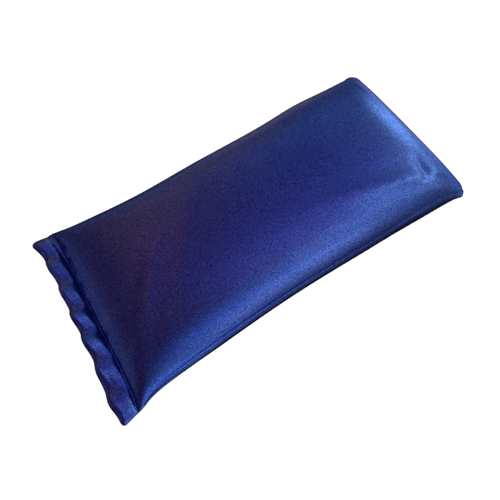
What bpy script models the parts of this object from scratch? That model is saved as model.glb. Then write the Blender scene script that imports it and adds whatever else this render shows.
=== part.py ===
"""Satin eye pillow: two sewn panels, the four threads of its two lockstitch seams, and its loose seed fill.

Metres, +Z up. The origin is the centre of the flat underside, X runs along the pillow towards the
turned end, and the hemmed end, sewn shut after filling, is at -X.

The pillow is described over a plan of its seam line. A point of the plan is named by how far it lies
in from each edge (its insets). Every layer follows the seam surface, which carries the seam line at
about a third of the pillow's height and sinks towards the corners:

    top panel wall        rises from the seam line to the crown
    top turn-in           the top panel's raw edge, folded back inside
    bottom turn-in        the bottom panel's raw edge, folded back inside
    bottom panel wall     drops from the seam line to the flat underside
"""

import math

import bmesh
import bpy
from mathutils import Vector

# Driving dimensions
LENGTH = 0.219
WIDTH = 0.104
HEIGHT = 0.0225
CLOTH = 0.00035  # thickness of the satin
SEAM_ALLOWANCE = 0.010  # raw edge left inside the pouch along the three turned seams
HEM = 0.009  # from the hemmed end's edge to its topstitch
HEM_TURN_IN = 0.0135  # raw edge folded back inside the hem
STITCH = 0.0035  # stitch length of the topstitch
THREAD = 0.00032  # thread diameter
NEEDLE_HOLE = 0.0018  # corner to corner of the diamond that a needle hole is drawn as

# Fits
LAYER_GAP = 0.0003  # between a panel's wall and its own turn-in
NODE_GAP = 0.0003  # between two pieces that rest on each other
THREAD_GAP = 0.00006  # between a thread and the cloth it lies on

# Seam line
SIDE_SEAM_HEIGHT = 0.0080
END_SEAM_HEIGHT = 0.0060
CORNER_SEAM_HEIGHT = 0.0045
SIDE_WAIST = 0.0050  # how far the middle of a long side is drawn in by the fill
END_WAIST = 0.0008
TURNED_CORNER = 0.0050  # corner radius at the turned end
HEMMED_CORNER = 0.0018

# Swell of the fill: how far in from an edge the surface levels out
CROWN_SIDE_RUN = 0.046
CROWN_END_RUN = 0.050
UNDERSIDE_RUN = 0.0085
BODY_START = HEM + 0.0012  # the hem stays flat this far in, just past its topstitch

# Lines of the modelling grid, as insets from the edges
HEMMED_LINES = [0, 0.0002, 0.0006, 0.0045, BODY_START, 0.0120, 0.0150, 0.0210, 0.0320, 0.0500, 0.0750]
TURNED_LINES = [0.0950, 0.0650, 0.0420, 0.0250, 0.0130, 0.0070, 0.0040, 0.0020, 0.0006, 0.0002, 0]
SIDE_LINES = [0, 0.0002, 0.0006, 0.0020, 0.0045, 0.0080, 0.0140, 0.0240, 0.0370]

HALF_LENGTH = LENGTH / 2
HALF_WIDTH = WIDTH / 2
FOLD = (2 * CLOTH + LAYER_GAP) / 2  # outer radius of a panel's folded edge
WALL_BASE = NODE_GAP / 2  # a panel's outer face starts this far from the seam surface
FILL_WALL_INSET = CLOTH + NODE_GAP  # from a panel's outer face to the fill
FILL_SLOT = NODE_GAP / 2 + CLOTH + NODE_GAP  # half height of the fill's slot around the turn-ins
FILL_EDGE = 0.0020  # the fill's outermost line, as an inset from the seam line
SIDE_SEAM_INSET = 0.0011  # from the folded edge to the hidden side seam's stitches
CUTTER_REACH = 0.003  # half height of a needle-hole cutter, past both faces of the hem
SMALL_STEP = 1e-5  # step for measuring a slope


def swell(distance, run, power):
    """0 at an edge and 1 once `run` in from it, rising steeply at first, like the side of an ellipse."""
    share = min(max(distance / run, 0.0), 1.0)
    return (1 - (1 - share) ** 2) ** power


def insets(x, y):
    """How far a plan point lies in from the hemmed end, the turned end and the nearer long side."""
    return x + HALF_LENGTH, HALF_LENGTH - x, HALF_WIDTH - abs(y)


def seam_surface(x, y):
    along, across = x / HALF_LENGTH, y / HALF_WIDTH
    side = (SIDE_SEAM_HEIGHT - CORNER_SEAM_HEIGHT) * (1 - along**4) * across**2
    end = (END_SEAM_HEIGHT - CORNER_SEAM_HEIGHT) * (1 - across**2) * along**2
    return CORNER_SEAM_HEIGHT + side + end


def folded_edge(x, y):
    """Height of a panel's outer face above the base of its fold: a half round at the edge, then level."""
    inset = max(min(min(insets(x, y)), FOLD), 0.0)
    return FOLD + math.sqrt(FOLD**2 - (FOLD - inset) ** 2)


def top_face(x, y):
    hemmed, turned, side = insets(x, y)
    base = seam_surface(x, y) + WALL_BASE + folded_edge(x, y)
    crown = swell(side, CROWN_SIDE_RUN, 0.5) * swell(turned, CROWN_END_RUN, 0.5)
    crown *= swell(hemmed - BODY_START, CROWN_END_RUN, 0.62)
    return base + (HEIGHT - base) * crown


def bottom_face(x, y):
    hemmed, turned, side = insets(x, y)
    base = seam_surface(x, y) - WALL_BASE - folded_edge(x, y)
    drop = swell(side, UNDERSIDE_RUN, 0.5) * swell(turned, UNDERSIDE_RUN, 0.5)
    drop *= swell(hemmed - BODY_START, UNDERSIDE_RUN, 0.62)
    return base * (1 - drop)


def plan(x, y):
    """Draws the straight plan's sides in at their middles and rounds its corners."""
    along, across = x / HALF_LENGTH, y / HALF_WIDTH
    radius = TURNED_CORNER if x > 0 else HEMMED_CORNER
    to_end = max(0.0, 1 - (HALF_LENGTH - abs(x)) / radius)
    to_side = max(0.0, 1 - (HALF_WIDTH - abs(y)) / radius)
    cut_x = radius * to_end * (1 - math.sqrt(1 - to_side**2 / 2))
    cut_y = radius * to_side * (1 - math.sqrt(1 - to_end**2 / 2))
    drawn_x = x * (1 - END_WAIST / HALF_LENGTH * (1 - across**2) * along**2)
    drawn_y = y * (1 - SIDE_WAIST / HALF_WIDTH * (1 - along**2) * across**2)
    return drawn_x - math.copysign(cut_x, x), drawn_y - math.copysign(cut_y, y)


def on_plan(x, y, height):
    return Vector((*plan(x, y), height))


def clear_of(face, x, y, distance):
    """The point this far inside a face, measured square to it."""
    here = on_plan(x, y, face(x, y))
    step_x = on_plan(x + SMALL_STEP, y, face(x + SMALL_STEP, y)) - here
    step_y = on_plan(x, y + SMALL_STEP, face(x, y + SMALL_STEP)) - here
    square = step_x.cross(step_y).normalized()
    inward = -1 if face is top_face else 1
    return here + square * inward * distance


def grid_lines(first_x_inset=0.0, first_side_inset=0.0, last_x_inset=0.0):
    """X and Y positions of the grid, leaving out lines nearer to an edge than these insets."""
    x_lines = [-HALF_LENGTH + i for i in HEMMED_LINES if i > first_x_inset]
    x_lines += [HALF_LENGTH - i for i in TURNED_LINES if i > last_x_inset]
    if first_x_inset:
        x_lines = [-HALF_LENGTH + first_x_inset] + x_lines + [HALF_LENGTH - last_x_inset]
    y_lines = [-HALF_WIDTH + i for i in SIDE_LINES if i > first_side_inset]
    if first_side_inset:
        y_lines = [-HALF_WIDTH + first_side_inset] + y_lines
    return x_lines, y_lines + [0.0] + [-y for y in reversed(y_lines)]


def outline_of(rows):
    """The outer loop of a grid's points, counter-clockwise seen from above."""
    return rows[0][:-1] + [row[-1] for row in rows[:-1]] + rows[-1][:0:-1] + [row[0] for row in rows[:0:-1]]


def add_grid(mesh, points, upwards):
    """Adds a grid of quads to the bmesh and returns its vertices row by row (a row runs along X)."""
    rows = [[mesh.verts.new(point) for point in row] for row in points]
    for low, high in zip(rows, rows[1:]):
        for i in range(len(low) - 1):
            quad = (low[i], low[i + 1], high[i + 1], high[i])
            mesh.faces.new(quad if upwards else quad[::-1])
    return rows


def add_band(mesh, first, second, flip=False):
    """Joins two counter-clockwise loops with quads that face out where the first loop is the upper one."""
    for i in range(len(first)):
        following = (i + 1) % len(first)
        quad = (first[i], second[i], second[following], first[following])
        mesh.faces.new(quad[::-1] if flip else quad)


def inset_loop(mesh, loop_plan, hem_inset, edge_inset, height):
    """Adds a loop of vertices like the plan's outline, in from its edges, this high over the seam surface."""
    scale_y = (HALF_WIDTH - edge_inset) / HALF_WIDTH
    low_x, high_x = -HALF_LENGTH + hem_inset, HALF_LENGTH - edge_inset
    made = []
    for share, y in loop_plan:
        x, y = low_x + share * (high_x - low_x), y * scale_y
        made.append(mesh.verts.new(on_plan(x, y, seam_surface(x, y) + height)))
    return made


def loop_shares(x_lines, y_lines):
    """The grid's outer loop as (share of the length, y), the form inset_loop takes."""
    length = x_lines[-1] - x_lines[0]
    full_y = HALF_WIDTH / y_lines[-1]
    return outline_of([[((x - x_lines[0]) / length, y * full_y) for x in x_lines] for y in y_lines])


def add_object(name, data, material=None):
    if material:
        data.materials.append(material)
    made = bpy.data.objects.new(name, data)
    bpy.context.scene.collection.objects.link(made)
    return made


def mesh_data(name, mesh):
    data = bpy.data.meshes.new(name)
    mesh.to_mesh(data)
    mesh.free()
    data.shade_smooth()
    return data


def make_material(name, colour, roughness, sheen=0.0):
    made = bpy.data.materials.new(name)
    made.use_nodes = True
    shader = made.node_tree.nodes["Principled BSDF"]
    shader.inputs["Base Color"].default_value = (*colour, 1)
    shader.inputs["Roughness"].default_value = roughness
    shader.inputs["Metallic"].default_value = 0.0
    shader.inputs["Sheen Weight"].default_value = sheen
    made.diffuse_color = (*colour, 1)
    return made


def make_panel(name, face, upwards, needle_holes, material):
    """A satin panel: its outer skin with the raw edge turned in all round, given the cloth's thickness."""
    mesh = bmesh.new()
    x_lines, y_lines = grid_lines()
    skin = add_grid(mesh, [[on_plan(x, y, face(x, y)) for x in x_lines] for y in y_lines], upwards)
    shares = loop_shares(x_lines, y_lines)
    side = 1 if upwards else -1
    under_fold = FOLD * (1 - math.sqrt(0.5))
    previous = outline_of(skin)
    for hem_inset, edge_inset, height in (
        (under_fold, under_fold, under_fold),
        (FOLD, FOLD, 0.0),
        (HEM_TURN_IN, SEAM_ALLOWANCE, 0.0),
    ):
        following = inset_loop(mesh, shares, hem_inset, edge_inset, side * (WALL_BASE + height))
        add_band(mesh, previous, following, flip=not upwards)
        previous = following
    panel = add_object(name, mesh_data(name, mesh), material)
    thickness = panel.modifiers.new("cloth thickness", "SOLIDIFY")
    thickness.thickness = CLOTH
    thickness.offset = -1
    thickness.use_even_offset = True
    cut = panel.modifiers.new("needle holes", "BOOLEAN")
    cut.operation = "DIFFERENCE"
    cut.object = needle_holes
    return panel


def make_fill(material):
    """The seeds as one bulk solid that fills the pouch, with a slot all round for the turned-in edges."""
    mesh = bmesh.new()
    hem_edge = BODY_START + FILL_EDGE
    x_lines, y_lines = grid_lines(hem_edge, FILL_EDGE, FILL_EDGE)
    shares = loop_shares(x_lines, y_lines)
    grids = {}
    for face, upwards in ((top_face, True), (bottom_face, False)):
        points = [[clear_of(face, x, y, FILL_WALL_INSET) for x in x_lines] for y in y_lines]
        grids[face] = add_grid(mesh, points, upwards)
    slot_mouth = (hem_edge + FILL_WALL_INSET, FILL_EDGE + FILL_WALL_INSET)
    slot_end = (HEM_TURN_IN + NODE_GAP, SEAM_ALLOWANCE + NODE_GAP)
    loops = [outline_of(grids[top_face])]
    for place, height in (
        (slot_mouth, FILL_SLOT),
        (slot_end, FILL_SLOT),
        (slot_end, -FILL_SLOT),
        (slot_mouth, -FILL_SLOT),
    ):
        loops.append(inset_loop(mesh, shares, *place, height))
    loops.append(outline_of(grids[bottom_face]))
    for first, second in zip(loops, loops[1:]):
        add_band(mesh, first, second)
    return add_object("seed_fill", mesh_data("seed_fill", mesh), material)


def stitch_places():
    """Y of each needle hole of the topstitch."""
    count = int((WIDTH - 2 * STITCH) / STITCH)
    return [(i - (count - 1) / 2) * STITCH for i in range(count)]


def make_needle_holes():
    """One diamond-shaped cutter for each needle hole, through all four layers of the hem."""
    mesh = bmesh.new()
    reach = NEEDLE_HOLE / 2
    corners = [(reach, 0), (0, reach), (-reach, 0), (0, -reach)]
    x = -HALF_LENGTH + HEM
    for y in stitch_places():
        middle = on_plan(x, y, seam_surface(x, y))
        lower, upper = (
            [mesh.verts.new(middle + Vector((*corner, height))) for corner in corners]
            for height in (-CUTTER_REACH, CUTTER_REACH)
        )
        add_band(mesh, upper, lower)
        mesh.faces.new(upper)
        mesh.faces.new(lower[::-1])
    cutter = add_object("needle_holes", mesh_data("needle_holes", mesh))
    cutter.hide_render = True
    cutter.display_type = "WIRE"
    return cutter


def make_thread(name, points, material):
    """A thread swept along a path."""
    curve = bpy.data.curves.new(name, "CURVE")
    curve.dimensions = "3D"
    curve.bevel_depth = THREAD / 2
    curve.bevel_resolution = 0
    curve.use_fill_caps = True
    curve.twist_mode = "MINIMUM"
    path = curve.splines.new("POLY")
    path.points.add(len(points) - 1)
    for point, place in zip(path.points, points):
        point.co = (*place, 1)
    return add_object(name, curve, material)


def topstitch_path(side):
    """The needle thread (side 1) lies on top and the bobbin thread (side -1) underneath.

    At each hole the needle thread dips and loops under the bobbin thread, which rises and loops over it,
    square to it, so the two threads lock together in the middle of the four layers.
    """
    x = -HALF_LENGTH + HEM
    run = WALL_BASE + 2 * FOLD + THREAD / 2 + THREAD_GAP
    leg = NEEDLE_HOLE * 0.24  # from the hole's centre to each leg of a loop
    crossing = THREAD * 0.65  # how far past the middle a loop reaches
    if side > 0:
        shape = [(0, -2 * leg, run), (0, -leg, run - leg), (0, -leg, -crossing)]
    else:
        shape = [(0, -2.6 * leg, -run), (-leg, -leg / 2, -run), (-leg, 0, crossing)]
    path = []
    for y in stitch_places():
        middle = on_plan(x, y, seam_surface(x, y))
        path += [middle + Vector(point) for point in shape]
        path += [middle + Vector((-px, -py, pz)) for px, py, pz in reversed(shape)]
    return path


def side_seam_path(side):
    """Round three sides, one thread above the turn-ins and one below them, close to the folded edges."""
    height = side * (WALL_BASE + CLOTH + THREAD / 2 + THREAD_GAP)
    start_x, end_x = -HALF_LENGTH + BODY_START + FILL_EDGE, HALF_LENGTH - SIDE_SEAM_INSET
    edge_y = HALF_WIDTH - SIDE_SEAM_INSET
    corner_steps = [TURNED_CORNER * share for share in (0.3, 0.65)]
    last_x, last_y = end_x - TURNED_CORNER, TURNED_CORNER - edge_y
    along = [start_x + (last_x - start_x) * i / 24 for i in range(25)]
    across = [last_y * (1 - i / 5) for i in range(5)]
    half_path = [(x, -edge_y) for x in along + [end_x - step for step in reversed(corner_steps)]]
    half_path += [(end_x, y) for y in [-edge_y] + [-edge_y + step for step in corner_steps] + across]
    plan_path = half_path + [(end_x, 0.0)] + [(x, -y) for x, y in reversed(half_path)]
    return [on_plan(x, y, seam_surface(x, y) + height) for x, y in plan_path]


def build():
    for old in list(bpy.data.objects):
        bpy.data.objects.remove(old)
    satin = make_material("blue satin", (0.020, 0.030, 0.200), 0.32, sheen=0.3)
    thread = make_material("navy sewing thread", (0.012, 0.018, 0.110), 0.55)
    seeds = make_material("flax seed and lavender", (0.210, 0.095, 0.035), 0.45)
    needle_holes = make_needle_holes()
    make_panel("top_panel", top_face, True, needle_holes, satin)
    make_panel("bottom_panel", bottom_face, False, needle_holes, satin)
    make_fill(seeds)
    make_thread("closing_needle_thread", topstitch_path(1), thread)
    make_thread("closing_bobbin_thread", topstitch_path(-1), thread)
    make_thread("side_seam_needle_thread", side_seam_path(1), thread)
    make_thread("side_seam_bobbin_thread", side_seam_path(-1), thread)


build()
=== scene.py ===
"""Satin eye pillow: the filled pouch, its puckered hem, its seams and threads, and its seeds.

Metres, +Z up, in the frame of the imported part. The pouch is simulated as two inextensible satin
sheets that are sewn together round their edges and along the hem's stitch line, filled until they
hold the seeds' volume, and laid on a table. The panels, threads and fill are built on that shape.
"""

import math

import bpy
import numpy as np
from mathutils import Matrix, Vector


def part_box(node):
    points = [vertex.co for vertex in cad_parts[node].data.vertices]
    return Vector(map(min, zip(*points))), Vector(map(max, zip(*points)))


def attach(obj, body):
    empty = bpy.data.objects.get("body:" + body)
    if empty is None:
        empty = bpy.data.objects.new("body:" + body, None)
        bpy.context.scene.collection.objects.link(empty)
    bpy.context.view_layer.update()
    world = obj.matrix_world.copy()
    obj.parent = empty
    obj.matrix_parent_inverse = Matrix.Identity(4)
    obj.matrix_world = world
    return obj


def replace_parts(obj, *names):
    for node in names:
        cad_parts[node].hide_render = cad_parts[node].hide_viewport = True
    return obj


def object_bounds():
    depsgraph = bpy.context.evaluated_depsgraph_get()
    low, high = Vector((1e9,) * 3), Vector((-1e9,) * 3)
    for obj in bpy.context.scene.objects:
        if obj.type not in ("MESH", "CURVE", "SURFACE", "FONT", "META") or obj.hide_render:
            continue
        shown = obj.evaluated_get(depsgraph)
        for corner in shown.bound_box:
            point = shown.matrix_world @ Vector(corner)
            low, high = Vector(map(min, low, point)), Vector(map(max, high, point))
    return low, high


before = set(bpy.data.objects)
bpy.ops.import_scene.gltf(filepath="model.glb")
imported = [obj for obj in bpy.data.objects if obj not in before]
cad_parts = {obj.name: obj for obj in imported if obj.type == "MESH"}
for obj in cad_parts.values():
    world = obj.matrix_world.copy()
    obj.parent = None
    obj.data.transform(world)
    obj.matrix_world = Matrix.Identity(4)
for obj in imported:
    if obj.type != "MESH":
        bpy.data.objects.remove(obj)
cad_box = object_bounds()
rng = np.random.default_rng(7)

# ---------------------------------------------------------------- dimensions
PATTERN_LENGTH = 0.2225  # flat sewn size of the pouch, before it is filled
PATTERN_WIDTH = 0.1050
STITCH_X = sum(corner.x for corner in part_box("closing_needle_thread")) / 2
HEM = STITCH_X - cad_box[0].x  # hem edge to its stitch line
TURNED_CORNER_FAR, TURNED_CORNER_NEAR = 0.0085, 0.0090  # radii of the pattern's corners
HEMMED_CORNER = 0.0022
CLOTH = 0.0002  # the satin's thickness
STACK = 0.0007  # half thickness of the four layers of cloth along a seam
TURN_GAP = 0.00006  # between a turned-in edge and the seam's middle
SEAM_ALLOWANCE = 0.010
HEM_TURN_IN = 0.0135
STITCH = 0.0035
OVERHANG = 0.0010  # how far the pouch stands out past the design at its turned end
FILL_VOLUME = 0.000350
HEM_BOW = 0.0026  # how far the pattern's hemmed end bows out at its middle
HEM_SKEW = 0.0030  # how much shorter the pattern is along its far side
TURNED_HOLLOW = 0.0006  # how far the pattern's turned end is drawn in at its middle
NEAR_ROLL = (-0.0015, 0.0058)  # upper sheet narrower, lower sheet wider: the near seam rolls up
PATTERN_WAIST = 0.0018  # how far the pattern's long sides are cut in at their middles
# how the long sides wander from straight: a base, then (amount, place along the side, width)
FAR_SIDE = 0.0006, ((-0.0017, 0.27, 0.13), (0.0017, 0.76, 0.09), (0.0017, 0, 0.08))
NEAR_SIDE = 0.0003, ((-0.0006, 0.43, 0.15), (0.0030, 0, 0.07), (0.0007, 0.70, 0.12), (0.0022, 1, 0.06))

HALF_L, HALF_W = PATTERN_LENGTH / 2, PATTERN_WIDTH / 2


# ---------------------------------------------------------------- pouch simulation
# the grids' spacings, from coarse to fine, and for how many steps the pouch settles on each
GRIDS = ((0.003, 300), (0.002, 300), (0.00133, 350))
START_LEVEL, START_RISE, START_SAG, START_EDGE = 0.006, 0.005, 0.004, 0.03
GATHER, GATHER_REACH = 0.06, 0.0025  # how much the stitches gather the cloth, and how far from them
SEED_WEIGHT = 0.0006  # the pressure that the seeds add with depth
STIFFNESS = 0.02
FIRST_PUSH, PUSH_GAIN, PUSH_SPRING = 4e-6, 1.0e-6, 8e-5  # the filling pressure follows the volume
HEM_WEIGHT, POUCH_WEIGHT = 4e-7, 3e-6
KEPT_SPEED, TOP_SPEED = 0.95, 4e-4
FRICTION = 0.7  # the share of a slide that the table takes away
SOLVER_ROUNDS = 2
# each kind of yarn that holds the sheets' points: rows apart, columns apart, stiffness
YARNS = ((1, 0, 1.0), (0, 1, 1.0), (1, 1, 0.35), (1, -1, 0.35))


def grid_lines(step):
    """Positions of the cloth's grid lines along and across, and the index of the stitch line."""
    hem = np.linspace(0, HEM, round(HEM / (step * 0.75)) + 1)
    body = np.linspace(HEM, PATTERN_LENGTH, round((PATTERN_LENGTH - HEM) / step) + 1)[1:]
    across = np.linspace(-HALF_W, HALF_W, round(PATTERN_WIDTH / step) + 1)
    return np.concatenate([hem, body]) - HALF_L, across, len(hem) - 1


def round_corner(to_end, to_side, radius):
    """How far a point near a corner is drawn in along each side; both arguments run from 0 to 1."""
    cut_x = radius * to_end * (1 - np.sqrt(1 - to_side**2 / 2))
    cut_y = radius * to_side * (1 - np.sqrt(1 - to_end**2 / 2))
    return cut_x, cut_y


def hump(values, centre, width):
    """A smooth bump, 1 at its centre."""
    return np.exp(-(((values - centre) / width) ** 2))


def wander(along, base, bumps):
    """A base value with bumps added; each bump is (amount, place, width)."""
    for amount, place, width in bumps:
        base = base + amount * hump(along, place, width)
    return base


def pattern(xs, ys, roll=0.0):
    """The flat pattern: a rectangle with rounded corners. Roll widens it along its near side."""
    x, y = np.meshgrid(xs, ys, indexing="ij")
    radius = np.where(x > 0, np.where(y > 0, TURNED_CORNER_FAR, TURNED_CORNER_NEAR), HEMMED_CORNER)
    to_end = np.clip(1 - (HALF_L - abs(x)) / radius, 0, 1)
    to_side = np.clip(1 - (HALF_W - abs(y)) / radius, 0, 1)
    cut_x, cut_y = round_corner(to_end, to_side, radius)
    along = (x + HALF_L) / PATTERN_LENGTH
    waist = PATTERN_WAIST * (1 - (x / HALF_L) ** 2) * y / HALF_W
    far = wander(along, *FAR_SIDE)
    near = wander(along, *NEAR_SIDE)
    # the roll grows from the hem, is strongest before the turned end and stops at the corner
    rolled = 0.45 * np.clip(along / 0.25, 0, 1) + 0.55 * hump(along, 0.86, 0.10)
    near = near + roll * rolled * np.clip((1 - along) / 0.07, 0, 1)
    uneven = np.clip(y / HALF_W, 0, 1) * far - np.clip(-y / HALF_W, 0, 1) * near
    bowed = HEM_BOW * (1 - (y / HALF_W) ** 2) - HEM_SKEW * (y / HALF_W + 1) / 2
    bowed *= np.clip(1 - along / 0.3, 0, 1) ** 2
    # the turned end is drawn in, a little more towards the near side and most at its corner
    hollow = TURNED_HOLLOW * (1 - (y / HALF_W) ** 2) + 0.0003 * (1 - y / HALF_W)
    hollow += 0.0014 * hump(y / HALF_W, -1, 0.15)
    bowed += hollow * np.clip(2 * along - 1, 0, 1)
    pattern_x = x - bowed - np.sign(x) * cut_x
    pattern_y = y - waist + uneven - np.sign(y) * cut_y
    return np.stack([pattern_x, pattern_y, np.zeros_like(x)], -1)


def pairs(points, di, dj, start=0, stride=1):
    """Two views of the points that lie di rows and dj columns apart."""
    n, m = points.shape[-3:-1]
    low, high = max(0, -dj), m - max(0, dj)
    if di:
        first = points[..., start : n - di : stride, low:high, :]
        second = points[..., start + di :: stride, low + dj : high + dj, :]
        return first, second
    return points[..., start : m - dj : stride, :], points[..., start + dj :: stride, :]


def hold_lengths(points, rest):
    """Moves neighbouring points back to their woven distance. The diagonals are softer, as in cloth."""
    for di, dj, stiffness in YARNS:
        for start in (0, 1):
            first, second = pairs(points, di, dj, start, 2)
            length = rest[di, dj][:, start::2] if di else rest[di, dj][:, :, start::2]
            apart = second - first
            now = np.sqrt((apart**2).sum(-1)) + 1e-12
            apart *= (0.5 * stiffness * (1 - length / now))[..., None]
            first += apart
            second -= apart


def sew(points, stitch):
    """Holds the two sheets together round the edges and along the stitch line."""
    for line in (np.s_[:, 0], np.s_[:, -1], np.s_[0], np.s_[-1], np.s_[stitch]):
        middle = (points[0][line] + points[1][line]) / 2
        points[0][line] = middle
        points[1][line] = middle


def second_difference(values):
    """How far each point lies off the middle of its neighbours, along and across."""
    out = np.zeros_like(values)
    out[:, 1:-1] += values[:, 2:] + values[:, :-2] - 2 * values[:, 1:-1]
    out[:, :, 1:-1] += values[:, :, 2:] + values[:, :, :-2] - 2 * values[:, :, 1:-1]
    return out


def settle(points, xs, ys, stitch, steps):
    """Fills, sags and wrinkles the pouch."""
    flat = np.stack([pattern(xs, ys, roll) for roll in NEAR_ROLL])
    rest = {}
    for di, dj, _ in YARNS:
        first, second = pairs(flat, di, dj)
        rest[di, dj] = np.linalg.norm(second - first, axis=-1)
    rest[0, 1] = rest[0, 1] * (1 - GATHER * hump(xs, xs[stitch], GATHER_REACH))[:, None]
    speed = np.zeros_like(points)
    push = FIRST_PUSH
    for _ in range(steps):
        diagonal = points[:, 1:, 1:] - points[:, :-1, :-1]
        other_diagonal = points[:, :-1, 1:] - points[:, 1:, :-1]
        quad = np.cross(diagonal, other_diagonal) / 2
        quad[1] *= -1
        normal = np.zeros_like(points)
        for corner in (np.s_[:, :-1, :-1], np.s_[:, 1:, :-1], np.s_[:, :-1, 1:], np.s_[:, 1:, 1:]):
            normal[corner] += quad
        normal /= np.sqrt((normal**2).sum(-1, keepdims=True)) + 1e-12
        heights = points[..., 2]
        level = heights[:, :-1, :-1] + heights[:, 1:, :-1] + heights[:, :-1, 1:] + heights[:, 1:, 1:]
        level /= 4
        volume = (level * quad[..., 2])[:, stitch:].sum()
        lack = (FILL_VOLUME - volume) / FILL_VOLUME
        push = max(0.0, push + PUSH_GAIN * lack)
        pressure = SEED_WEIGHT * (heights[0].max() - heights[..., None])
        force = normal * (max(0.0, push + PUSH_SPRING * lack) + pressure)
        force[:, :stitch] = 0
        force[:, stitch] *= 0.5
        force[:, :stitch, :, 2] -= HEM_WEIGHT
        force[:, stitch:, :, 2] -= POUCH_WEIGHT
        before = points.copy()
        points += speed * KEPT_SPEED + force
        for _ in range(SOLVER_ROUNDS):
            hold_lengths(points, rest)
            sew(points, stitch)
        bend = second_difference(points)
        bend[:, (0, stitch, -1)] = 0
        bend[:, :, (0, -1)] = 0
        points -= STIFFNESS * second_difference(bend)
        overlap = np.minimum(points[0, ..., 2] - points[1, ..., 2], 0) / 2
        points[0, ..., 2] -= overlap
        points[1, ..., 2] += overlap
        resting = points[..., 2] < 0
        points[..., 2] = np.maximum(points[..., 2], 0)
        for axis in (0, 1):
            slide = points[..., axis] - before[..., axis]
            points[..., axis] -= np.where(resting, FRICTION * slide, 0)
        speed = points - before
        quick = np.sqrt((speed**2).sum(-1, keepdims=True)) + 1e-12
        speed *= np.minimum(1, TOP_SPEED / quick)
    return points


def resample(points, xs, ys, new_xs, new_ys):
    """The same sheets on a finer grid."""
    rows = np.empty((2, len(new_xs), len(ys), 3))
    for s, j, axis in np.ndindex(2, len(ys), 3):
        rows[s, :, j, axis] = np.interp(new_xs, xs, points[s, :, j, axis])
    finer = np.empty((2, len(new_xs), 3, len(new_ys)))
    for s, i, axis in np.ndindex(2, len(new_xs), 3):
        finer[s, i, axis] = np.interp(new_ys, ys, rows[s, i, :, axis])
    return finer.transpose(0, 1, 3, 2)


def simulate_pouch():
    """The two sheets' points after filling, the grid's lines and the stitch line's row."""
    step, steps = GRIDS[0]
    xs, ys, stitch = grid_lines(step)
    flat = pattern(xs, ys)
    rise = np.clip((flat[..., 0] - xs[stitch]) / START_EDGE, 0, 1)
    rise = rise * np.clip((HALF_L - flat[..., 0]) / START_EDGE, 0, 1)
    rise *= np.clip((HALF_W - abs(flat[..., 1])) / START_EDGE, 0, 1)
    points = np.stack([flat, flat])
    points[0, ..., 2] = START_LEVEL + START_RISE * rise
    points[1, ..., 2] = START_LEVEL - START_SAG * rise
    points = settle(points, xs, ys, stitch, steps)
    for step, steps in GRIDS[1:]:
        new_xs, new_ys, stitch = grid_lines(step)
        points = resample(points, xs, ys, new_xs, new_ys)
        xs, ys = new_xs, new_ys
        points = settle(points, xs, ys, stitch, steps)
    points[..., 2] -= points[..., 2].min()
    return points, xs, ys, stitch


def halfway(values):
    """Adds a point between each two along the first axis, on a smooth curve through its neighbours."""
    out = np.empty((2 * len(values) - 1, *values.shape[1:]))
    out[::2] = values
    out[1::2] = (values[:-1] + values[1:]) / 2
    out[3:-3:2] += (values[1:-2] + values[2:-1] - values[:-3] - values[3:]) / 16
    return out


sheets, xs, ys, stitch_row = simulate_pouch()
sheets = np.stack([halfway(halfway(sheet).transpose(1, 0, 2)).transpose(1, 0, 2) for sheet in sheets])
xs, ys, stitch_row = halfway(xs), halfway(ys), 2 * stitch_row
sheets[..., 0] += cad_box[1].x + OVERHANG - sheets[..., 0].max()


# ---------------------------------------------------------------- the hem's strip
LUMPS = 7  # puffs of cloth between the hem's puckers
PUCKER_SHIFT = 0.0014  # how far a pucker may lie off its even place
LUMP_SLANT = 0.0028  # how far a tuck runs sideways on its way from the hem's edge to the stitch line
LUMP_HEIGHT = 0.0037
CREST, CREST_WAVE = 0.24, 0.06  # where the lumps' crest lies on the strip, and how far it wanders
GROOVE = 1.00  # where the lumps end, just before the stitch line
LUMP_WAVE = 0.0012
TUCK_WIDTH = 0.0016
FOLD_HEIGHT, FOLD_WIDTH = 0.00042, 0.0009  # the narrow fold that runs slanting over each lump
FOLD_START, FOLD_SLANT = 0.34, 0.12
UNDERSIDE_LUMP = 0.4  # how far the lumps bulge downwards, as a share of their height
HEM_CORNER_FAR, HEM_CORNER_NEAR = 0.0036, 0.0024
HEM_END_TAPER = 0.004
STRIP_WIDTH, FAR_WIDENING = 1.07, 0.24  # as shares of the hem
STRIP_BUMPS = ((0.17, -0.72, 0.25), (-0.12, -1, 0.12))  # (amount, place across, width)
WIDTH_WAVE = 0.0005

share = ((xs[: stitch_row + 1] + HALF_L) / HEM)[:, None]  # 0 at the hem's edge, 1 at its stitch line
out = 1 - share
across = (ys / HALF_W)[None, :]
seam = sheets.mean(0)[stitch_row]
ends = -HALF_W + PATTERN_WIDTH * np.arange(LUMPS + 1) / LUMPS
ends[1:-1] += rng.uniform(-PUCKER_SHIFT, PUCKER_SHIFT, LUMPS - 1)
centres = (ends[1:] + ends[:-1]) / 2
along_strip = np.clip(ys[None, :] + LUMP_SLANT * (share - 0.5), -HALF_W, HALF_W)
tuck = np.clip(sum(np.exp(-(abs((along_strip - end) / TUCK_WIDTH) ** 1.5)) for end in ends[1:-1]), 0, 1)
within = np.interp(along_strip, ends, np.arange(LUMPS + 1.0))  # counts the lumps from the near side
swell = np.sin(np.pi * (within % 1) ** 1.35) ** 2  # each lump is fullest towards its far end
fullness = np.interp(along_strip, centres, rng.uniform(0.9, 1.15, LUMPS))
fullness *= 0.72 + 0.28 * swell - 0.05 * tuck
fullness *= 1 - 0.40 * hump(across, -0.65, 0.30)
lift = np.interp(along_strip, centres, rng.uniform(-0.0003, 0.0005, LUMPS))

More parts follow.
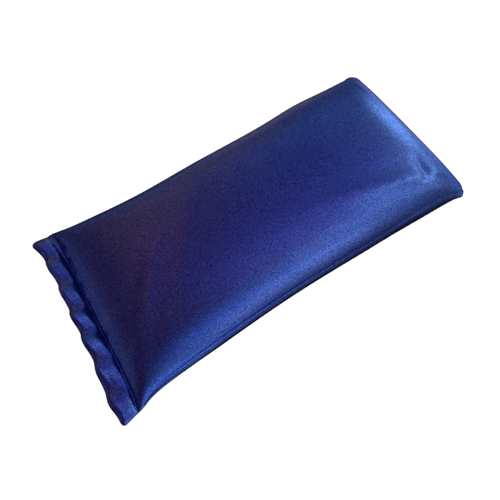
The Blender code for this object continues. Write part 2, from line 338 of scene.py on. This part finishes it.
# the strip is wider at the far corner and before the near one, and waves with its lumps
width = HEM * wander(across[0], STRIP_WIDTH + FAR_WIDENING * across[0].clip(0) ** 4, STRIP_BUMPS)
width += WIDTH_WAVE * (swell[0] - 0.5)
radius = np.where(across > 0, HEM_CORNER_FAR, HEM_CORNER_NEAR)
to_end = np.clip(1 - share * HEM / radius, 0, 1)
to_side = np.clip(1 - (1 - abs(across)) * HALF_W / radius, 0, 1)
cut_x, cut_y = round_corner(to_end, to_side, radius)
strip = np.empty((stitch_row + 1, len(ys), 3))
strip[..., 0] = seam[:, 0] - width * out + cut_x
flare = np.where(across > 0, 0.0003, -0.0020) * abs(across) ** 6
strip[..., 1] = seam[:, 1] + flare * out - np.sign(across) * cut_y
strip[..., 2] = seam[:, 2] + out * (lift - 0.0002 * tuck * out) + LUMP_WAVE * (swell - 0.5) * out**0.8
round_end = np.sqrt(np.clip((1 - abs(across)) * HALF_W / HEM_END_TAPER, 0, 1))
crest = CREST + CREST_WAVE * np.sin(2 * np.pi * within)
rising = np.sin(np.pi / 2 * (share / crest).clip(0, 1)) ** 0.8
falling = np.cos(np.pi / 2 * ((share - crest) / (GROOVE - crest)).clip(0, 1))
tube = rising * falling * fullness * round_end
sheets[:, : stitch_row + 1] = strip
sheets[0, : stitch_row + 1, :, 2] += LUMP_HEIGHT * tube
sheets[1, : stitch_row + 1, :, 2] -= UNDERSIDE_LUMP * LUMP_HEIGHT * tube
over_lump = within % 1
from_fold = (share - FOLD_START + FOLD_SLANT * over_lump) * HEM
fold = hump(from_fold, 0, FOLD_WIDTH) * np.sin(np.pi * over_lump) ** 0.7
sheets[0, : stitch_row + 1, :, 2] += FOLD_HEIGHT * fold * round_end

flat = pattern(xs, ys)
inset = flat[..., 0] + HALF_L


# ---------------------------------------------------------------- corners and creases in the skin
EAR = 0.013  # how far a turned corner's flattened tip reaches
DENTS = 12  # short dents that the gathered stitch line leaves in the foot of the pouch
DENT_DEPTH, DENT_WIDTH, DENT_LENGTH = 0.0006, 0.0016, 0.003
SEAM_DIP, SEAM_DIP_AT, SEAM_DIP_WIDTH = 0.0006, 0.0024, 0.0011
FOOT_ROLL, FOOT_ROLL_AT, FOOT_ROLL_WIDTH = 0.0007, 0.0032, 0.0017
STITCH_GROOVE, STITCH_GROOVE_WIDTH = 0.0006, 0.0009
STITCH_DINT, STITCH_DINT_RADIUS = 0.0003, 0.0008

for corner_y, flattening in ((-HALF_W, 0.5), (HALF_W, 0.3)):
    away = np.hypot(flat[..., 0] - HALF_L, flat[..., 1] - corner_y)
    thinner = flattening * hump(away, 0, EAR)
    sheets += (sheets.mean(0) - sheets) * thinner[None, ..., None]


def crease(start, end, width, height):
    """Raises or sinks the upper skin along a line of the pattern, fading out towards its ends."""
    start, end = np.array(start), np.array(end)
    line = end - start
    offset = flat[..., :2] - start
    at = (offset @ line) / (line @ line)
    away = (offset[..., 0] * line[1] - offset[..., 1] * line[0]) / np.linalg.norm(line)
    fade = np.sin(np.pi * np.clip(at, 0, 1) ** 1.5) ** 0.7
    sheets[0, ..., 2] += height * fade * hump(away, 0, width)


# the dimple at the near turned corner and the small fold beside it
crease((0.0872, -0.0185), (0.0835, -0.0380), 0.0033, -0.0008)
crease((0.0870, -0.0330), (0.0990, -0.0400), 0.0022, 0.0004)
# the ridge that runs into that corner
crease((0.0150, -0.0160), (0.0980, -0.0370), 0.0052, 0.0009)
crease((0.0450, -0.0240), (0.0985, -0.0375), 0.0030, 0.0002)
# the ridge that runs from the near end of the hem towards the far side
crease((-0.0480, 0.0180), (-0.1000, -0.0490), 0.0042, 0.0006)
crease((-0.0600, -0.0220), (-0.0080, 0.0500), 0.0050, 0.0002)
# the edge of the turned end
crease((0.0970, -0.0250), (0.0980, 0.0480), 0.0030, 0.0005)

for place in -HALF_W + PATTERN_WIDTH * (np.arange(DENTS) + rng.uniform(0.25, 0.75, DENTS)) / DENTS:
    depth = DENT_DEPTH * rng.uniform(0.4, 1)
    from_foot = (inset - HEM - DENT_LENGTH) / DENT_LENGTH
    foot = np.exp(-(((flat[..., 1] - place) / DENT_WIDTH) ** 2) - from_foot**2)
    sheets[0, ..., 2] -= np.where(inset > HEM, depth * foot, 0)
# the skin dips a little beside the side seams, whose layers stand proud
beside_seam = hump(HALF_W - abs(ys), SEAM_DIP_AT, SEAM_DIP_WIDTH)[None, :]
sheets[0, ..., 2] -= SEAM_DIP * (beside_seam * np.clip((inset - HEM) / 0.04, 0, 1))
# the roll of cloth that stands up behind the stitch line
roll = hump(inset - HEM, FOOT_ROLL_AT, FOOT_ROLL_WIDTH)
roll *= np.clip((HALF_W - abs(flat[..., 1])) / 0.012, 0, 1)
sheets[0, ..., 2] += np.where(inset > HEM, FOOT_ROLL * roll, 0)
# the groove that the stitches pull into all the layers
sheets[..., 2] -= STITCH_GROOVE * hump(inset, HEM, STITCH_GROOVE_WIDTH)
sheets[1, ..., 2] = np.maximum(sheets[1, ..., 2], STACK)
sheets[0, ..., 2] = np.maximum(sheets[0, ..., 2], sheets[1, ..., 2])
middle = sheets.mean(0)
# the layers' own thickness at the seams, and the dint each stitch pulls in them
STITCH_COUNT = int((PATTERN_WIDTH - 2 * STITCH) / STITCH)
holes = (np.arange(STITCH_COUNT) - (STITCH_COUNT - 1) / 2) * STITCH
dint = np.zeros_like(inset)
for hole in holes:
    dint += np.exp(-((flat[..., 1] - hole) ** 2 + (inset - HEM) ** 2) / STITCH_DINT_RADIUS**2)
sheets[0, ..., 2] += STACK - STITCH_DINT * dint
sheets[1, ..., 2] -= STACK - STITCH_DINT * dint


# ---------------------------------------------------------------- meshes
def link(name, data, material):
    """Puts a new object with this data and material into the scene."""
    data.materials.append(material)
    made = bpy.data.objects.new(name, data)
    bpy.context.scene.collection.objects.link(made)
    return made


def loop_of(n, m):
    """Indices of a grid's boundary, counter-clockwise seen from above."""
    ring = [(i, 0) for i in range(n)] + [(n - 1, j) for j in range(1, m)]
    ring += [(i, m - 1) for i in range(n - 2, -1, -1)] + [(0, j) for j in range(m - 2, 0, -1)]
    return ring


def make_panel(name, sheet, side, material):
    """A satin panel: its skin, the fold at its edge and its turned-in raw edge."""
    n, m = sheet.shape[:2]
    ring = loop_of(n, m)
    rows, cols = np.array(ring).T
    centre = middle[rows, cols]
    ahead, behind = np.roll(centre, -1, 0), np.roll(centre, 1, 0)
    tangent = (ahead - behind)[:, :2]
    outward = np.stack([tangent[:, 1], -tangent[:, 0]], -1)
    outward /= np.linalg.norm(outward, axis=1, keepdims=True) + 1e-12
    outward = np.column_stack([outward, np.zeros(len(ring))])
    up = np.array([0, 0, side])
    radius = (STACK - TURN_GAP) / 2
    points = sheet.copy()
    points[rows, cols] = centre - outward * radius + up * STACK
    verts = list(points.reshape(-1, 3))
    faces = []
    flip = side < 0

    def add(quad):
        faces.append(quad[::-1] if flip else quad)

    for i in range(n - 1):
        for j in range(m - 1):
            add((i * m + j, (i + 1) * m + j, (i + 1) * m + j + 1, i * m + j + 1))
    previous = [i * m + j for i, j in ring]
    for angle in (45, 0, -45):
        turn = math.radians(angle)
        start = len(verts)
        rise = TURN_GAP + radius * (1 + math.sin(turn))
        verts.extend(centre + outward * radius * (math.cos(turn) - 1) + up * rise)
        current = list(range(start, start + len(ring)))
        for k in range(len(ring)):
            after = (k + 1) % len(ring)
            add((previous[k], current[k], current[after], previous[after]))
        previous = current
    # the turned-in edge follows the middle of the stack
    inset_x = np.minimum(inset[:, m // 2] - (HEM_TURN_IN - SEAM_ALLOWANCE), HALF_L - xs)
    kept = (inset_x[:, None] < SEAM_ALLOWANCE) | ((HALF_W - abs(ys)) < SEAM_ALLOWANCE)[None, :]
    index = np.full((n, m), -1)
    inner = middle + up * TURN_GAP
    for i, j in zip(*np.nonzero(kept)):
        if 0 < i < n - 1 and 0 < j < m - 1:
            index[i, j] = len(verts)
            verts.append(inner[i, j])
    start = len(verts)
    verts.extend(centre - outward * radius + up * TURN_GAP)
    for k, (i, j) in enumerate(ring):
        index[i, j] = start + k
        after = (k + 1) % len(ring)
        add((previous[k], start + k, start + after, previous[after]))
    for i in range(n - 1):
        for j in range(m - 1):
            quad = (index[i, j], index[i, j + 1], index[i + 1, j + 1], index[i + 1, j])
            if min(quad) >= 0:
                add(tuple(int(q) for q in quad))
    data = bpy.data.meshes.new(name)
    data.from_pydata([tuple(v) for v in verts], [], faces)
    data.shade_smooth()
    panel = link(name, data, material)
    cloth = panel.modifiers.new("cloth", "SOLIDIFY")
    cloth.thickness = CLOTH
    cloth.offset = -1
    return panel


# ---------------------------------------------------------------- materials
def node_material(name):
    """A material, its node tree and its shader node."""
    material = bpy.data.materials.new(name)
    material.use_nodes = True
    tree = material.node_tree
    return material, tree, tree.nodes["Principled BSDF"]


def add_node(tree, kind, **values):
    """A node with some of its settings or inputs given by name."""
    node = tree.nodes.new(kind)
    for key, value in values.items():
        if hasattr(node, key):
            setattr(node, key, value)
        else:
            node.inputs[key.replace("_", " ")].default_value = value
    return node


def satin_material():
    """Royal-blue satin: metallic floats that glint unevenly over a fine weave."""
    material, tree, shader = node_material("royal_blue_satin")
    link_to = tree.links.new
    place = add_node(tree, "ShaderNodeTexCoord").outputs["Object"]
    broad = add_node(tree, "ShaderNodeTexNoise", Scale=16.0, Detail=3.0)
    link_to(place, broad.inputs["Vector"])
    colour = add_node(tree, "ShaderNodeValToRGB")
    colour.color_ramp.elements[0].color = (0.070, 0.150, 0.54, 1)
    colour.color_ramp.elements[0].position = 0.35
    colour.color_ramp.elements[1].color = (0.092, 0.190, 0.64, 1)
    colour.color_ramp.elements[1].position = 0.65
    link_to(broad.outputs["Fac"], colour.inputs["Fac"])
    # the weave: long floats of the warp crossed by a fine rib
    mapping = add_node(tree, "ShaderNodeMapping")
    mapping.inputs["Scale"].default_value = (900, 2600, 900)
    link_to(place, mapping.inputs["Vector"])
    weave = add_node(tree, "ShaderNodeTexNoise", Scale=1.0, Detail=2.0)
    link_to(mapping.outputs["Vector"], weave.inputs["Vector"])
    grain = add_node(tree, "ShaderNodeTexNoise", Scale=1500.0, Detail=2.0)
    link_to(place, grain.inputs["Vector"])
    # each float glints a little paler or darker than the dye
    glint = add_node(tree, "ShaderNodeValToRGB")
    glint.color_ramp.elements[0].color = (0.20, 0.35, 0.72, 1)
    glint.color_ramp.elements[0].position = 0.30
    glint.color_ramp.elements[1].color = (1.80, 1.65, 1.28, 1)
    glint.color_ramp.elements[1].position = 0.70
    link_to(grain.outputs["Fac"], glint.inputs["Fac"])
    mix = add_node(tree, "ShaderNodeMix", data_type="RGBA", blend_type="MULTIPLY")
    mix.inputs["Factor"].default_value = 1.0
    link_to(colour.outputs["Color"], mix.inputs["A"])
    link_to(glint.outputs["Color"], mix.inputs["B"])
    link_to(mix.outputs["Result"], shader.inputs["Base Color"])
    rough = add_node(tree, "ShaderNodeMapRange")
    rough.inputs["To Min"].default_value = 0.20
    rough.inputs["To Max"].default_value = 0.27
    link_to(weave.outputs["Fac"], rough.inputs["Value"])
    link_to(rough.outputs["Result"], shader.inputs["Roughness"])
    bump = add_node(tree, "ShaderNodeBump")
    bump.inputs["Strength"].default_value = 0.25
    bump.inputs["Distance"].default_value = 0.00012
    link_to(weave.outputs["Fac"], bump.inputs["Height"])
    link_to(bump.outputs["Normal"], shader.inputs["Normal"])
    shader.inputs["Metallic"].default_value = 1.0
    shader.inputs["Specular Tint"].default_value = (0.40, 0.50, 0.90, 1)
    return material


def sewing_thread_material():
    """Navy polyester thread with a soft fuzz."""
    material, tree, shader = node_material("navy_sewing_thread")
    place = add_node(tree, "ShaderNodeTexCoord").outputs["Object"]
    fuzz = add_node(tree, "ShaderNodeTexNoise", Scale=4200.0, Detail=2.0)
    tree.links.new(place, fuzz.inputs["Vector"])
    colour = add_node(tree, "ShaderNodeValToRGB")
    colour.color_ramp.elements[0].color = (0.006, 0.010, 0.055, 1)
    colour.color_ramp.elements[1].color = (0.018, 0.028, 0.150, 1)
    tree.links.new(fuzz.outputs["Fac"], colour.inputs["Fac"])
    tree.links.new(colour.outputs["Color"], shader.inputs["Base Color"])
    bump = add_node(tree, "ShaderNodeBump")
    bump.inputs["Strength"].default_value = 0.4
    bump.inputs["Distance"].default_value = 0.00004
    tree.links.new(fuzz.outputs["Fac"], bump.inputs["Height"])
    tree.links.new(bump.outputs["Normal"], shader.inputs["Normal"])
    shader.inputs["Roughness"].default_value = 0.6
    shader.inputs["Sheen Weight"].default_value = 0.3
    return material


def seed_material(name, dark, light, roughness):
    """Seed husk: each seed has its own shade, and all have fine specks."""
    material, tree, shader = node_material(name)
    place = add_node(tree, "ShaderNodeTexCoord").outputs["Object"]
    each = add_node(tree, "ShaderNodeTexVoronoi", Scale=330.0)
    speck = add_node(tree, "ShaderNodeTexNoise", Scale=1800.0, Detail=3.0)
    tree.links.new(place, each.inputs["Vector"])
    tree.links.new(place, speck.inputs["Vector"])
    mix = add_node(tree, "ShaderNodeMix")
    tree.links.new(each.outputs["Color"], mix.inputs["A"])
    tree.links.new(speck.outputs["Fac"], mix.inputs["B"])
    colour = add_node(tree, "ShaderNodeValToRGB")
    colour.color_ramp.elements[0].color = (*dark, 1)
    colour.color_ramp.elements[0].position = 0.2
    colour.color_ramp.elements[1].color = (*light, 1)
    colour.color_ramp.elements[1].position = 0.8
    tree.links.new(mix.outputs["Result"], colour.inputs["Fac"])
    tree.links.new(colour.outputs["Color"], shader.inputs["Base Color"])
    bump = add_node(tree, "ShaderNodeBump")
    bump.inputs["Strength"].default_value = 0.3
    bump.inputs["Distance"].default_value = 0.00008
    tree.links.new(speck.outputs["Fac"], bump.inputs["Height"])
    tree.links.new(bump.outputs["Normal"], shader.inputs["Normal"])
    shader.inputs["Roughness"].default_value = roughness
    return material


satin = satin_material()
top = make_panel("satin_top", sheets[0], 1, satin)
bottom = make_panel("satin_bottom", sheets[1], -1, satin)
for piece, node in ((top, "top_panel"), (bottom, "bottom_panel")):
    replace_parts(piece, node)
    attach(piece, "root")


# ---------------------------------------------------------------- threads
THREAD_RADIUS = 0.00016
PLY_RADIUS = 0.00009
TURN_POINTS = 7  # points of a ply's curve on each turn of its twist
CLOSING_TWIST, SIDE_TWIST = 0.0011, 0.0018  # lengths of one turn
ANY_DIRECTION = (0.31, 0.17, 0.94)  # a direction along which no thread runs
SIDE_SEAM_INSET = 0.0011
SIDE_STITCH = 0.0025
SIDE_THREAD_GAP, SIDE_THREAD_RISE = 0.00002, 0.00034
# one stitch: place between its hole and the next ones, and height from the middle (0) to the skin (1)
STITCH_PATH = (
    (-1, 1.0),
    (-0.6, 1.0),
    (-0.32, 0.9),
    (-0.16, 0.45),
    (0, -0.12),
    (0.16, 0.45),
    (0.32, 0.9),
    (0.6, 1.0),
)


def twisted_thread(name, path, material, pitch):
    """A two-ply thread laid along a path of points."""
    path = np.array(path)
    steps = np.linalg.norm(np.diff(path, axis=0), axis=1)
    length = np.concatenate([[0], np.cumsum(steps)])
    count = max(8, int(length[-1] / pitch * TURN_POINTS))
    at = np.linspace(0, length[-1], count)
    line = np.stack([np.interp(at, length, path[:, c]) for c in range(3)], -1)
    tangent = np.gradient(line, axis=0)
    tangent /= np.linalg.norm(tangent, axis=1, keepdims=True) + 1e-12
    side = np.cross(tangent, ANY_DIRECTION)
    side /= np.linalg.norm(side, axis=1, keepdims=True) + 1e-12
    over = np.cross(side, tangent)
    curve = bpy.data.curves.new(name, "CURVE")
    curve.dimensions = "3D"
    curve.bevel_depth = PLY_RADIUS
    curve.bevel_resolution = 1
    curve.use_fill_caps = True
    for ply in (0, math.pi):
        turn = (2 * math.pi * at / pitch + ply)[:, None]
        strand = line + (np.cos(turn) * side + np.sin(turn) * over) * (THREAD_RADIUS - PLY_RADIUS)
        spline = curve.splines.new("POLY")
        spline.points.add(count - 1)
        spline.points.foreach_set("co", np.column_stack([strand, np.ones(count)]).ravel())
    thread = link(name, curve, material)
    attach(thread, "root")
    return thread


def on_stitch_line(side, y):
    """The skin's height at the stitch line, this far across the pattern."""
    row = sheets[0 if side > 0 else 1, stitch_row]
    return np.array([np.interp(y, ys, row[:, c]) for c in range(3)])


def topstitch(side):
    """One thread of the closing lockstitch: on the cloth, down each hole and across the other."""
    path = []
    half = STITCH / 2
    for hole in holes:
        core = (on_stitch_line(1, hole) + on_stitch_line(-1, hole)) / 2
        shift = np.array([THREAD_RADIUS * side, 0, 0])
        for place, height in STITCH_PATH:
            skin = on_stitch_line(side, hole + place * half)
            lie = skin + np.array([0, 0, side * THREAD_RADIUS * 1.15])
            if height >= 1.0:
                path.append(lie)
            else:
                deep = core + np.array([0, place * half, 0]) + shift
                crossing = np.array([0, 0, side * THREAD_RADIUS * (height < 0)])
                path.append(deep + (lie - deep) * max(height, 0) - crossing)
    return path


def side_seam(side):
    """One thread of the hidden seam round three sides, just inside the fold, stitch by stitch."""
    edge = round(SIDE_SEAM_INSET / (ys[1] - ys[0]))
    n, m = len(xs), len(ys)
    first = stitch_row + 4
    route = [(i, edge) for i in range(first, n - 1 - edge)]
    route += [(n - 1 - edge, j) for j in range(edge, m - edge)]
    route += [(i, m - 1 - edge) for i in range(n - 2 - edge, first - 1, -1)]
    line = np.array([middle[i, j] for i, j in route])
    rise = abs(np.sin(np.arange(len(line)) * (xs[-1] - xs[-2]) / SIDE_STITCH * math.pi)) ** 0.5
    line[:, 2] += side * (SIDE_THREAD_GAP + SIDE_THREAD_RISE * rise)
    return line


thread_stuff = sewing_thread_material()
for name, node, path, pitch in (
    ("closing_needle_thread_twist", "closing_needle_thread", topstitch(1), CLOSING_TWIST),
    ("closing_bobbin_thread_twist", "closing_bobbin_thread", topstitch(-1), CLOSING_TWIST),
    ("side_needle_thread_twist", "side_seam_needle_thread", side_seam(1), SIDE_TWIST),
    ("side_bobbin_thread_twist", "side_seam_bobbin_thread", side_seam(-1), SIDE_TWIST),
):
    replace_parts(twisted_thread(name, path, thread_stuff, pitch), node)


# ---------------------------------------------------------------- seeds
SEED_SIDES = 6
SEED_RINGS = (-0.62, 0.05, 0.68)  # places of a seed's rings of points between its two tips
FLAX_COUNT, FLAX_DEPTH = 4200, 0.0010
BUD_COUNT, BUD_DEPTH = 260, 0.0012
SEED_TILT, DEPTH_SPREAD = 0.12, 0.0006
LOWEST_SEED = 0.0004
END_MARGIN, SIDE_MARGIN = 14, 16  # the grid lines that loose seeds keep away from the seams
BULK_SPACING = 4  # the bulk uses every fourth line of the cloth
BULK_DEPTH = 0.0019


def seed_shape(length, width, thickness, taper):
    """A flattened, slightly pointed seed along X: rings of points between two tips."""
    points = [(-length / 2, 0, 0)]
    for along in SEED_RINGS:
        swell = math.sqrt(1 - along**2) * (1 - taper * along)
        for k in range(SEED_SIDES):
            turn = 2 * math.pi * k / SEED_SIDES
            y = swell * width / 2 * math.cos(turn)
            z = swell * thickness / 2 * math.sin(turn)
            points.append((along * length / 2, y, z))
    points.append((length / 2, 0, 0))
    last_ring = 1 + SEED_SIDES * (len(SEED_RINGS) - 1)
    tip = last_ring + SEED_SIDES
    faces = [(0, 1 + (k + 1) % SEED_SIDES, 1 + k) for k in range(SEED_SIDES)]
    for ring in range(1, last_ring, SEED_SIDES):
        ahead = ring + SEED_SIDES
        for k in range(SEED_SIDES):
            after = (k + 1) % SEED_SIDES
            faces.append((ring + k, ring + after, ahead + after, ahead + k))
    faces += [(last_ring + k, last_ring + (k + 1) % SEED_SIDES, tip) for k in range(SEED_SIDES)]
    return np.array(points), faces


# the directions that point out of both skins
slope_x, slope_y = np.gradient(sheets, axis=(1, 2))
outward = np.cross(slope_x, slope_y) * np.array([1, -1])[:, None, None, None]
outward /= np.linalg.norm(outward, axis=-1, keepdims=True)


def scatter(shape, count, depth):
    """Seeds lying flat under both skins, at random places and angles."""
    points, faces = shape
    out_points, out_faces = [], []
    low, high = stitch_row + END_MARGIN, len(xs) - END_MARGIN
    for _ in range(count):
        s = int(rng.random() < 0.5)
        i, j = int(rng.integers(low, high)), int(rng.integers(SIDE_MARGIN, len(ys) - SIDE_MARGIN))
        normal = outward[s, i, j]
        turn = rng.uniform(0, 2 * math.pi)
        ahead = np.array([math.cos(turn), math.sin(turn), 0])
        ahead -= normal * ahead.dot(normal) + normal * rng.uniform(-SEED_TILT, SEED_TILT)
        ahead /= np.linalg.norm(ahead)
        across = np.cross(normal, ahead)
        across /= np.linalg.norm(across)
        over = np.cross(ahead, across)
        centre = sheets[s, i, j] - normal * (depth + rng.uniform(0, DEPTH_SPREAD))
        placed = centre + points[:, :1] * ahead + points[:, 1:2] * across + points[:, 2:] * over
        placed[:, 2] += max(0, LOWEST_SEED - placed[:, 2].min())
        base = len(out_points) * len(points)
        out_points.append(placed)
        out_faces += [tuple(base + k for k in face) for face in faces]
    return np.concatenate(out_points), out_faces


def bulk():
    """The mass of seeds under the outermost ones."""
    rows = np.arange(stitch_row + 8, len(xs) - 6, BULK_SPACING)[:, None]
    cols = np.arange(7, len(ys) - 6, BULK_SPACING)
    layers = sheets[:, rows, cols]
    n, m = layers.shape[1:3]
    room = layers[0, ..., 2] - layers[1, ..., 2]
    layers -= outward[:, rows, cols] * np.minimum(BULK_DEPTH, room * 0.4)[..., None]
    faces = []
    for i in range(n - 1):
        for j in range(m - 1):
            a = i * m + j
            faces.append((a, a + m, a + m + 1, a + 1))
            faces.append(tuple(n * m + k for k in (a + 1, a + m + 1, a + m, a)))
    ring = [i * m + j for i, j in loop_of(n, m)]
    for k, a in enumerate(ring):
        b = ring[(k + 1) % len(ring)]
        faces.append((a, a + n * m, b + n * m, b))
    return layers.reshape(-1, 3), faces


FLAX = seed_shape(0.0046, 0.0024, 0.0010, 0.25)
BUD = seed_shape(0.0055, 0.0019, 0.0016, -0.15)
flax_stuff = seed_material("flax_seed", (0.070, 0.026, 0.010), (0.330, 0.150, 0.050), 0.35)
bud_stuff = seed_material("dried_lavender", (0.060, 0.050, 0.110), (0.210, 0.170, 0.320), 0.8)
all_points, all_faces, slots = [], [], []
for points, faces, index in (
    (*bulk(), 0),
    (*scatter(FLAX, FLAX_COUNT, FLAX_DEPTH), 0),
    (*scatter(BUD, BUD_COUNT, BUD_DEPTH), 1),
):
    base = sum(len(p) for p in all_points)
    all_points.append(points)
    all_faces += [tuple(base + k for k in face) for face in faces]
    slots += [index] * len(faces)
seeds_data = bpy.data.meshes.new("seeds")
seeds_data.from_pydata(np.concatenate(all_points).tolist(), [], all_faces)
seeds_data.shade_smooth()
seeds = link("flax_and_lavender", seeds_data, flax_stuff)
seeds_data.materials.append(bud_stuff)
seeds_data.polygons.foreach_set("material_index", slots)
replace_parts(seeds, "seed_fill")
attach(seeds, "root")


# ---------------------------------------------------------------- setting
def plain_material(name, colour, roughness, glow):
    """One even colour that also shines a little by itself."""
    material, _, shader = node_material(name)
    shader.inputs["Base Color"].default_value = (*colour, 1)
    shader.inputs["Roughness"].default_value = roughness
    shader.inputs["Emission Color"].default_value = (1, 1, 1, 1)
    shader.inputs["Emission Strength"].default_value = glow
    return material


FLOOR_REACH = 4
floor_data = bpy.data.meshes.new("floor")
corners = [(x * FLOOR_REACH, y * FLOOR_REACH, 0) for x, y in ((-1, -1), (1, -1), (1, 1), (-1, 1))]
floor_data.from_pydata(corners, [], [(0, 1, 2, 3)])
floor = link("floor", floor_data, plain_material("pale_table", (0.85, 0.85, 0.85), 0.9, 0.95))
floor.location.z = -0.0002
floor.visible_glossy = False
floor.visible_diffuse = False

# the soft lights of the studio: direction, sharpness, colour, strength
SKY_LOBES = (
    ((0.00, 0.00, 1.00), 0.5, (1.00, 0.35, 0.62), 0.145),
    ((0.97, 0.00, -0.26), 4, (0.90, 1.00, 0.95), 0.58),
    ((0.35, -0.61, 0.71), 8, (0.05, 0.80, 1.00), 0.10),
    ((0.10, 0.96, -0.26), 8, (1.00, 0.55, 0.35), 0.35),
    ((0.60, 0.05, 0.80), 32, (0.30, 0.50, 1.00), 0.20),
    ((0.73, -0.25, 0.64), 80, (1.00, 0.98, 0.88), 1.36),
    ((0.26, -0.03, 0.96), 40, (0.95, 0.50, 1.00), 0.26),
    ((0.52, 0.64, 0.57), 24, (0.40, 0.90, 1.00), 0.16),
    ((-0.15, -0.98, -0.05), 16, (0.65, 0.75, 1.00), 1.00),
    ((-0.05, 0.71, 0.71), 32, (1.00, 0.30, 0.00), 0.20),
    ((0.10, 0.89, 0.43), 40, (1.00, 0.30, 0.15), 0.30),
    ((0.33, -0.62, 0.71), 80, (1.00, 0.90, 0.90), 0.45),
    ((0.38, -0.65, 0.66), 100, (1.00, 0.80, 0.75), 0.45),
    ((0.53, -0.29, 0.80), 80, (0.70, 1.00, 1.00), 0.27),
    ((0.12, 0.12, 0.98), 40, (0.20, 0.40, 1.00), 0.06),
    ((0.72, 0.14, 0.68), 90, (0.70, 0.95, 1.00), 0.14),
    ((-0.20, -0.88, 0.42), 60, (0.50, 0.90, 1.00), 0.28),
    ((-0.05, 0.52, 0.85), 80, (1.00, 0.22, 0.12), 0.30),
    ((-0.20, 0.00, 0.98), 120, (1.00, 0.20, 0.10), 0.16),
    ((-0.18, 0.30, 0.94), 110, (1.00, 0.20, 0.10), 0.28),
    ((-0.43, 0.20, 0.88), 80, (1.00, 0.20, 0.10), 0.15),
    ((-0.94, 0.34, 0.00), 8, (1.00, 0.85, 0.90), 0.17),
    ((0.43, 0.86, -0.26), 32, (1.00, 0.35, 0.10), 1.15),
    ((0.40, -0.36, 0.85), 50, (1.00, 0.80, 0.93), 0.46),
    ((0.90, 0.35, -0.26), 32, (1.00, 0.60, 0.30), 2.30),
    ((0.90, 0.33, 0.27), 90, (1.00, 0.98, 0.80), 2.10),
    ((0.40, 0.40, 0.82), 12, (0.05, 0.15, 1.00), 0.08),
    ((0.18, -0.84, 0.50), 40, (1.00, 0.78, 0.77), 0.75),
    ((0.87, 0.00, 0.50), 50, (1.00, 1.00, 0.70), 0.90),
    ((0.00, -0.64, 0.77), 32, (0.38, 0.62, 1.00), 0.54),
)
world = bpy.data.worlds.new("studio")
bpy.context.scene.world = world
world.use_nodes = True
sky = world.node_tree
direction = sky.nodes.new("ShaderNodeNewGeometry").outputs["Incoming"]  # away from the sky


def sky_math(operation, first, second):
    """A maths node; each operand is a number or another node's output."""
    node = add_node(sky, "ShaderNodeMath", operation=operation)
    for socket, value in zip(node.inputs, (first, second)):
        if isinstance(value, (int, float)):
            socket.default_value = value
        else:
            sky.links.new(value, socket)
    return node.outputs[0]


def sky_lobe(towards, sharpness):
    """1 in this direction and falling off smoothly round it."""
    dot = add_node(sky, "ShaderNodeVectorMath", operation="DOT_PRODUCT")
    sky.links.new(direction, dot.inputs[0])
    dot.inputs[1].default_value = -Vector(towards).normalized()
    short = sky_math("SUBTRACT", dot.outputs["Value"], 1.0)
    return sky_math("EXPONENT", sky_math("MULTIPLY", short, sharpness), 0.0)


def sky_add(total, amount, colour, strength):
    """The sky so far with one more coloured light added."""
    scaled = add_node(sky, "ShaderNodeVectorMath", operation="SCALE")
    scaled.inputs[0].default_value = [c * strength for c in colour]
    sky.links.new(amount, scaled.inputs["Scale"])
    added = add_node(sky, "ShaderNodeVectorMath", operation="ADD")
    if total is None:
        added.inputs[0].default_value = (0, 0, 0)
    else:
        sky.links.new(total, added.inputs[0])
    sky.links.new(scaled.outputs[0], added.inputs[1])
    return added.outputs[0]


light = None
for towards, sharpness, colour, strength in SKY_LOBES:
    light = sky_add(light, sky_lobe(towards, sharpness), colour, strength)
# little light comes from below the table's top
height = sky.nodes.new("ShaderNodeSeparateXYZ")
sky.links.new(direction, height.inputs[0])
dimming = add_node(sky, "ShaderNodeMapRange")
dimming.inputs["From Min"].default_value = 0.10
dimming.inputs["From Max"].default_value = 0.50
dimming.inputs["To Min"].default_value = 1.0
dimming.inputs["To Max"].default_value = 0.15
sky.links.new(height.outputs["Z"], dimming.inputs["Value"])
dimmed = add_node(sky, "ShaderNodeVectorMath", operation="SCALE")
sky.links.new(light, dimmed.inputs[0])
sky.links.new(dimming.outputs["Result"], dimmed.inputs["Scale"])
# the camera itself sees a plain pale backdrop
seen = add_node(sky, "ShaderNodeMix", data_type="RGBA")
seen.inputs["B"].default_value = (0.90, 0.90, 0.90, 1)
sky.links.new(sky.nodes.new("ShaderNodeLightPath").outputs["Is Camera Ray"], seen.inputs["Factor"])
sky.links.new(dimmed.outputs[0], seen.inputs["A"])
sky.links.new(seen.outputs["Result"], sky.nodes["Background"].inputs["Color"])
sky.nodes["Background"].inputs["Strength"].default_value = 1.0

# the camera, at the photo's angle
AZIMUTH, ELEVATION, ROLL = math.radians(-34.08), math.radians(68.03), math.radians(0.9)
LOOKED_AT = Vector((-0.0141, -0.0122, 0))
DISTANCE = 0.2182
camera_data = bpy.data.cameras.new("camera")
camera = bpy.data.objects.new("camera", camera_data)
bpy.context.scene.collection.objects.link(camera)
bpy.context.scene.camera = camera
back = Vector(
    (
        math.sin(AZIMUTH) * math.cos(ELEVATION),
        -math.cos(AZIMUTH) * math.cos(ELEVATION),
        math.sin(ELEVATION),
    )
)
right = back.cross(Vector((0, 0, -1))).normalized()
above = back.cross(right)
right, above = (
    math.cos(ROLL) * right + math.sin(ROLL) * above,
    -math.sin(ROLL) * right + math.cos(ROLL) * above,
)
placing = Matrix((right, above, back)).transposed().to_4x4()
placing.translation = LOOKED_AT + back * DISTANCE
camera.matrix_world = placing
camera_data.sensor_width = 36
camera_data.lens = 28.6
camera_data.clip_start = 0.01
bpy.context.scene.view_settings.view_transform = "Standard"
